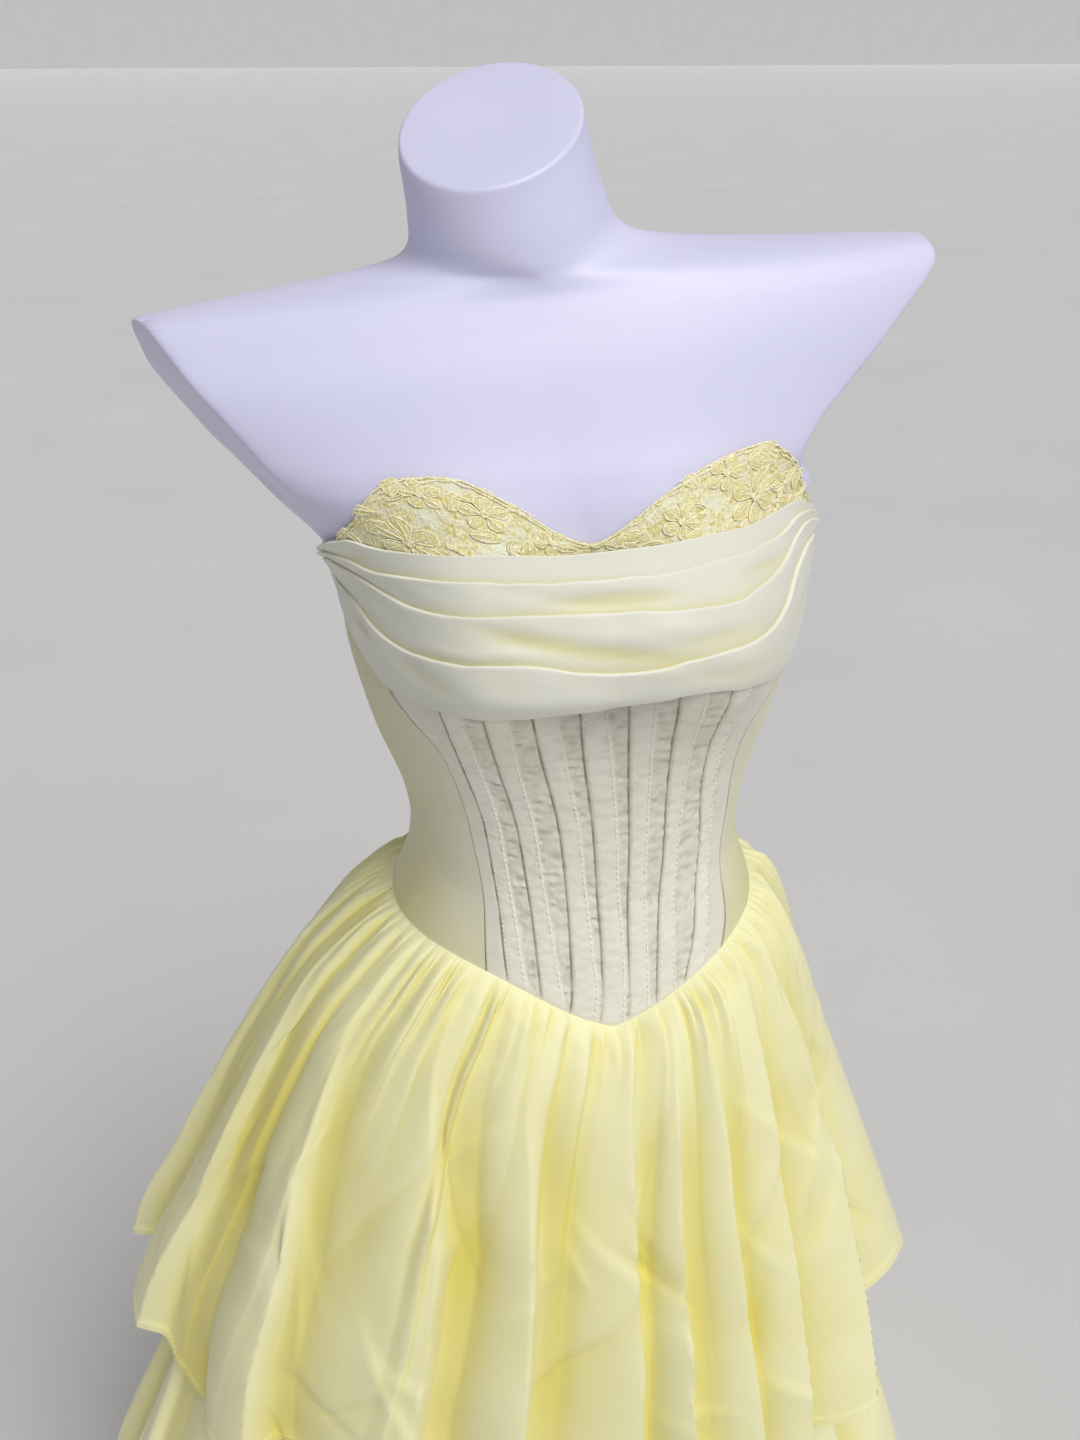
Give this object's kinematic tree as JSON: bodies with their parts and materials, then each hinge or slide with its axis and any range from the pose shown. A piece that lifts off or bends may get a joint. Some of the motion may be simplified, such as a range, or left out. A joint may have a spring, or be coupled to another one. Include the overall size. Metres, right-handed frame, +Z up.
{
  "type": "prom dress on a dress form",
  "caption": "Strapless floor-length dress with lace cups, pleated bust drape, boned pointed bodice and a gathered tiered skirt, on a limbless dress form with a pole and round base.",
  "frame": {"origin": "middle of the stand base's underside, on the floor", "axes": "+Z up; the front of the dress faces -Y; +X is the dress's left-hand side, to the right of a viewer in front"},
  "size_m": [0.8802, 0.7472, 1.484],
  "materials": {
    "form_plastic": "matte moulded shell",
    "stand_metal": "brushed",
    "satin": "smooth satin with a soft sheen",
    "boned_satin": "dull satin, lightly puckered between boning channels",
    "lace": "corded floral lace over satin",
    "chiffon": "fine chiffon over lining, soft sheen",
    "yoke_cloth": "plain woven lining"
  },
  "bodies": {
    "root": {"cup_left": "lace", "cup_right": "lace", "bust_drape": "satin", "corset_front": "boned_satin", "side_panel_left": "satin", "side_panel_right": "satin", "back_panel_left": "satin", "back_panel_right": "satin", "upper_tier_front": "chiffon", "upper_tier_back": "chiffon", "yoke_front": "yoke_cloth", "yoke_back": "yoke_cloth", "lower_tier_front": "chiffon", "lower_tier_back": "chiffon", "dress_form": "form_plastic", "stand_pole": "stand_metal", "stand_base": "stand_metal"}
  },
  "joints": []
}
